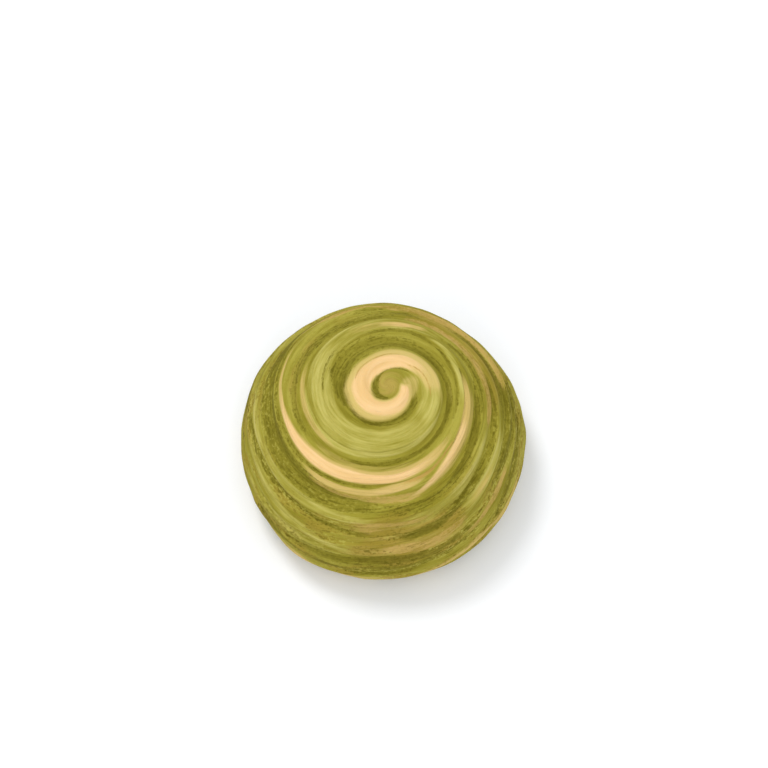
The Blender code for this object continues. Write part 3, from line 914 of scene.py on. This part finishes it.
# The dark mask lays darker dough and painted shade in the creases.
dark_and_painted_shade_mask = torn("dark", fine * 0.45 + crumbs * 0.55, ragged=1.9, start=0.22, end=1.02)
# The light mask lays paler dough, painted light on the ridges and painted highlights.
pale_and_painted_light_mask = torn("light", middle * 0.6 + fine * 0.4, ragged=1.1, start=0.05, end=1.05)
brown_mask = torn("brown", patch * 0.5 + crumbs * 0.5, ragged=1.6, start=0.25, end=0.85)
tan_mask = torn("tan", fine * 0.4 + crumbs * 0.6, ragged=1.5, start=0.20, end=0.80)
yellow_mask = torn("yellow", middle * 0.4 + fine * 0.6, ragged=0.9, start=0.10, end=0.95)
cream_mask = torn("cream", middle * 0.4 + fine * 0.6, ragged=0.7, start=0.15, end=0.95)
line_mask = torn("line", fine * 0.5 + crumbs * 0.5, ragged=2.0, start=0.25, end=0.85)

# %% Lay the tones over the green
Layer = namedtuple("Layer", "strength mask tone")
brown_patch = dough.ease(patch * 0.6 + crumbs * 0.4, 0.47, 0.57) * (outer * 0.60 + 0.08)
crown_tip = dough.ease(shader_level + (middle - 0.5) * 0.1, 0.07, 0.02)
LAYERS = (
    Layer(1.00, brown_patch, BROWN),
    Layer(0.50, crown_tip, TAN),
    Layer(0.75, brown_mask, brown_tone),
    Layer(0.85, pale_and_painted_light_mask, pale_and_painted_light_tone),
    Layer(0.82, dark_and_painted_shade_mask, dark_and_painted_shade_tone),
    Layer(0.85, tan_mask, tan_tone),
    Layer(0.95, yellow_mask, yellow_tone),
    Layer(1.00, cream_mask, cream_tone),
    Layer(0.90, line_mask, LINE),
)
colour = green
for layer in LAYERS:
    colour = dough.mix(layer.mask * layer.strength, colour, layer.tone)
print(len(LAYERS), "tones lie over the green")

# %% [markdown]
# Thin dark lines of painted shade run along the swirl at the foot of each ledge, where one sheet ends
# on the next. Dry crumbs gather beside the dark bands and in patches on the outer windings. Both are
# weakest on the smooth cream and on the light folds, where the dough was stretched.

# %% Painted shade at the sheets' ledges, and crumbs
calm = (1.0 - yellow_mask * 0.65) * (1.0 - pale_and_painted_light_mask * 0.45)
# Painted shade: thin dark lines at the foot of each sheet's ledge.
ledge_shade_mask = dough.ease(dough.attribute("edge") + (fine - 0.5) * 1.2, 0.30, 0.95)
colour = dough.mix(ledge_shade_mask * calm * 0.38, colour, DARKEST)
beside_dark = dough.ease(dough.attribute("dark"), 0.02, 0.35)
strands = dough.ease(strand, 0.56, 0.64) * dough.ease(crumbs, 0.42, 0.52)
colour = dough.mix(strands * (beside_dark * 0.6 + 0.15) * calm, colour, DARKEST)
dry = dough.ease(patch, 0.44, 0.58) * outer * 0.80 + beside_dark * 0.50 + 0.05
colour = dough.mix(dough.ease(crumbs, 0.52, 0.59) * dry * calm * 0.78, colour, DARKEST)
pale_dry = dough.ease(wide, 0.44, 0.60) * outer * 0.55
colour = dough.mix(dough.ease(crumbs, 0.46, 0.41) * pale_dry, colour, LIGHT)

# %% [markdown]
# The rim next to the tray is a paler tan in broken patches. The underside is dry crust, spotted
# where it touched the hot tray, and its spots don't follow the swirl, so their noise is read at the
# plain place.

# %% Paler rim and baked underside
CRUST = linear(196, 164, 104)
CRUST_SPOT = linear(164, 124, 66)
RIM = linear(220, 188, 126)
RIM_STRENGTH = 0.4
SPOT_SIZE = 5.0 * MM
spots = dough.node("ShaderNodeTexNoise", {}, {"Vector": place, "Scale": 1.0 / SPOT_SIZE,
                                              "Detail": 3.0, "Roughness": 0.6})
crust = dough.mix(dough.ease(spots * 0.7 + grain * 0.3, 0.48, 0.62), CRUST, CRUST_SPOT)
rim = dough.ease(shader_level + (crumbs - 0.5) * 0.16, 1.07, 1.12)
rim = rim * dough.ease(middle + wide, 0.94, 1.08)
colour = dough.mix(rim * RIM_STRENGTH, colour, RIM)
under = dough.ease(0.0 - tall, -0.25 * MM, -0.02 * MM)
colour = dough.mix(under, colour, crust)

# %% [markdown]
# Baked dough is matt, and the buttery cream is a little smoother. Light goes a short way into dough,
# which a weak subsurface gives. Streaks and crumbs too fine for the mesh are a bump: it costs no
# triangles, and at this size nobody sees that it is flat.

# %% Roughness, bump and the finished material
DRY_ROUGHNESS = 0.82
ALL_OVER = {"Specular IOR Level": 0.12, "Subsurface Weight": 0.05,
            "Subsurface Radius": (1.0, 0.6, 0.3), "Subsurface Scale": 0.8 * MM}
BUMP_STRENGTH = 0.8
BUMP_DEPTH = 0.22 * MM
dough.feed(dough.shader.inputs["Base Color"], colour)
dough.feed(dough.shader.inputs["Roughness"], DRY_ROUGHNESS - cream_mask * 0.18 - pale_and_painted_light_mask * 0.06)
for name, value in ALL_OVER.items():
    dough.shader.inputs[name].default_value = value
bump_height = fine * 0.45 + crumbs * (0.25 + outer * 0.35)
bump = dough.node("ShaderNodeBump", {}, {"Strength": BUMP_STRENGTH, "Distance": BUMP_DEPTH,
                                         "Height": bump_height})
dough.feed(dough.shader.inputs["Normal"], bump)
pastry.data.materials.clear()
pastry.data.materials.append(dough.material)
print("the dough's material has", len(dough.tree.nodes), "nodes")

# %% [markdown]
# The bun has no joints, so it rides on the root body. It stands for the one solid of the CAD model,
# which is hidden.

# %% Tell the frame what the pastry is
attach(pastry, "root")
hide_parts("pastry")

# %% [markdown]
# ## Floor, light and camera
#
# A plain pale floor catches the soft shadow. The key lamp stands behind on the left, high up, so
# that the shadow falls to the front right. A pale world and a wide, weak lamp in front fill in.

# %% The floor
FLOOR_SIZE = 3.0
FLOOR_COLOUR = (0.87, 0.87, 0.88, 1.0)
FLOOR_ROUGHNESS = 0.9
deselect_all()
bpy.ops.mesh.primitive_plane_add(size=FLOOR_SIZE, location=(0.0, 0.0, 0.0))
floor = bpy.context.object
floor.name = "floor"
paper = Material("pale_floor")
paper.shader.inputs["Base Color"].default_value = FLOOR_COLOUR
paper.shader.inputs["Roughness"].default_value = FLOOR_ROUGHNESS
floor.data.materials.append(paper.material)

# %% The lights
LAMP_DISTANCE = 0.90
SKY_COLOUR = (0.94, 0.97, 1.0, 1.0)
SKY_STRENGTH = 0.95
Lamp = namedtuple("Lamp", "name power size side height")
LAMPS = (
    Lamp("key_lamp", 2.9, 0.28, math.radians(127.0), math.radians(62.0)),
    Lamp("front_fill", 1.9, 0.60, math.radians(-90.0), math.radians(30.0)),
)
for lamp in LAMPS:
    outwards = LAMP_DISTANCE * math.cos(lamp.height)
    bpy.ops.object.light_add(type="AREA", location=(
        outwards * math.cos(lamp.side), outwards * math.sin(lamp.side),
        LAMP_DISTANCE * math.sin(lamp.height)))
    light_object = bpy.context.object
    light_object.name = lamp.name
    light_object.data.energy = lamp.power
    light_object.data.shape = "DISK"
    light_object.data.size = lamp.size
    light_object.rotation_euler = (math.pi / 2 - lamp.height, 0.0, lamp.side + math.pi / 2)

world = bpy.data.worlds.new("pale_world")
world.use_nodes = True
world.node_tree.nodes["Background"].inputs["Color"].default_value = SKY_COLOUR
world.node_tree.nodes["Background"].inputs["Strength"].default_value = SKY_STRENGTH
bpy.context.scene.world = world
bpy.context.scene.view_settings.view_transform = "Standard"
print("the stage has", len(LAMPS), "lamps and a pale world")

# %% [markdown]
# The camera looks steeply down, as a diner does, from far enough that the bun keeps its round
# outline. Its lens comes from how many pixels of the image a metre at the bun takes up.

# %% The camera
VIEW_HEIGHT = math.radians(66.0)
VIEW_DISTANCE = 0.450
IMAGE_SIZE = 768
SENSOR = 36.0
CLIP_START = 0.01
PIXELS_PER_METRE = 4615.0
FRAME_CENTRE = IMAGE_SIZE / 2
OBJECT_PIXEL = (381.0, 442.0)
back = np.array([0.0, -math.cos(VIEW_HEIGHT), math.sin(VIEW_HEIGHT)])
up = np.array([0.0, math.sin(VIEW_HEIGHT), math.cos(VIEW_HEIGHT)])
right = np.array([1.0, 0.0, 0.0])
belt_middle = np.array([0.0, 0.0, BELT_HEIGHT])
eye = belt_middle + VIEW_DISTANCE * back
aim = (belt_middle + up * (OBJECT_PIXEL[1] - FRAME_CENTRE) / PIXELS_PER_METRE
       - right * (OBJECT_PIXEL[0] - FRAME_CENTRE) / PIXELS_PER_METRE)
bpy.ops.object.camera_add(location=tuple(eye))
camera = bpy.context.object
camera.name = "camera"
camera.data.sensor_width = SENSOR
camera.data.lens = PIXELS_PER_METRE * VIEW_DISTANCE * SENSOR / IMAGE_SIZE
camera.data.clip_start = CLIP_START
direction = aim - eye
tilt = math.atan2(math.hypot(direction[0], direction[1]), -direction[2])
camera.rotation_euler = (tilt, 0.0, math.atan2(-direction[0], direction[1]))
bpy.context.scene.camera = camera
print("the lens is", round(camera.data.lens, 1), "mm")
